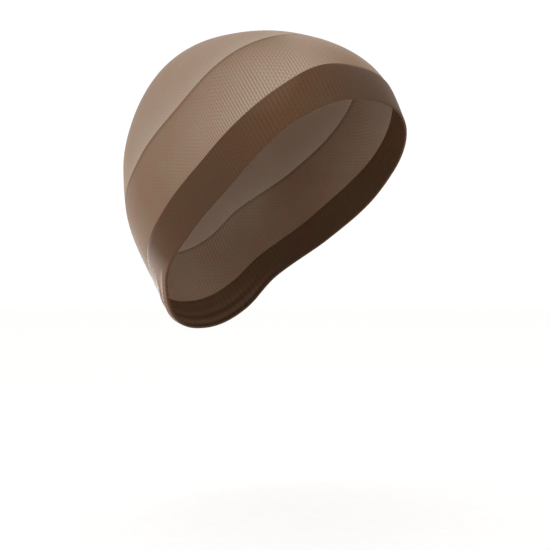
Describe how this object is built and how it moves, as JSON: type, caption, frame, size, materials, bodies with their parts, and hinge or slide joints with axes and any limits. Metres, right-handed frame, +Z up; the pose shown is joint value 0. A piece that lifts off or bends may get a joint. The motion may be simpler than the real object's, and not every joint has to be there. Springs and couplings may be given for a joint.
{
  "type": "wig cap",
  "caption": "Stretched stocking wig cap with a sheer crown, a denser middle band and a doubled dark welt round the opening.",
  "frame": {"origin": "top of the head inside the crown, where the wearer's head carries the cap", "axes": "+Z up, -Y towards the forehead, -X towards the wearer's right ear"},
  "size_m": [0.1418, 0.1762, 0.1778],
  "materials": {
    "sheer_knit": "fine sheer nylon knit, matte taupe",
    "shadow_knit": "denser nylon knit with fine wales, matte brown taupe",
    "welt_knit": "doubled nylon knit with fine ribs, matte dark brown"
  },
  "bodies": {
    "root": {"crown": "sheer_knit", "middle_band": "shadow_knit", "welt": "welt_knit"}
  },
  "joints": []
}
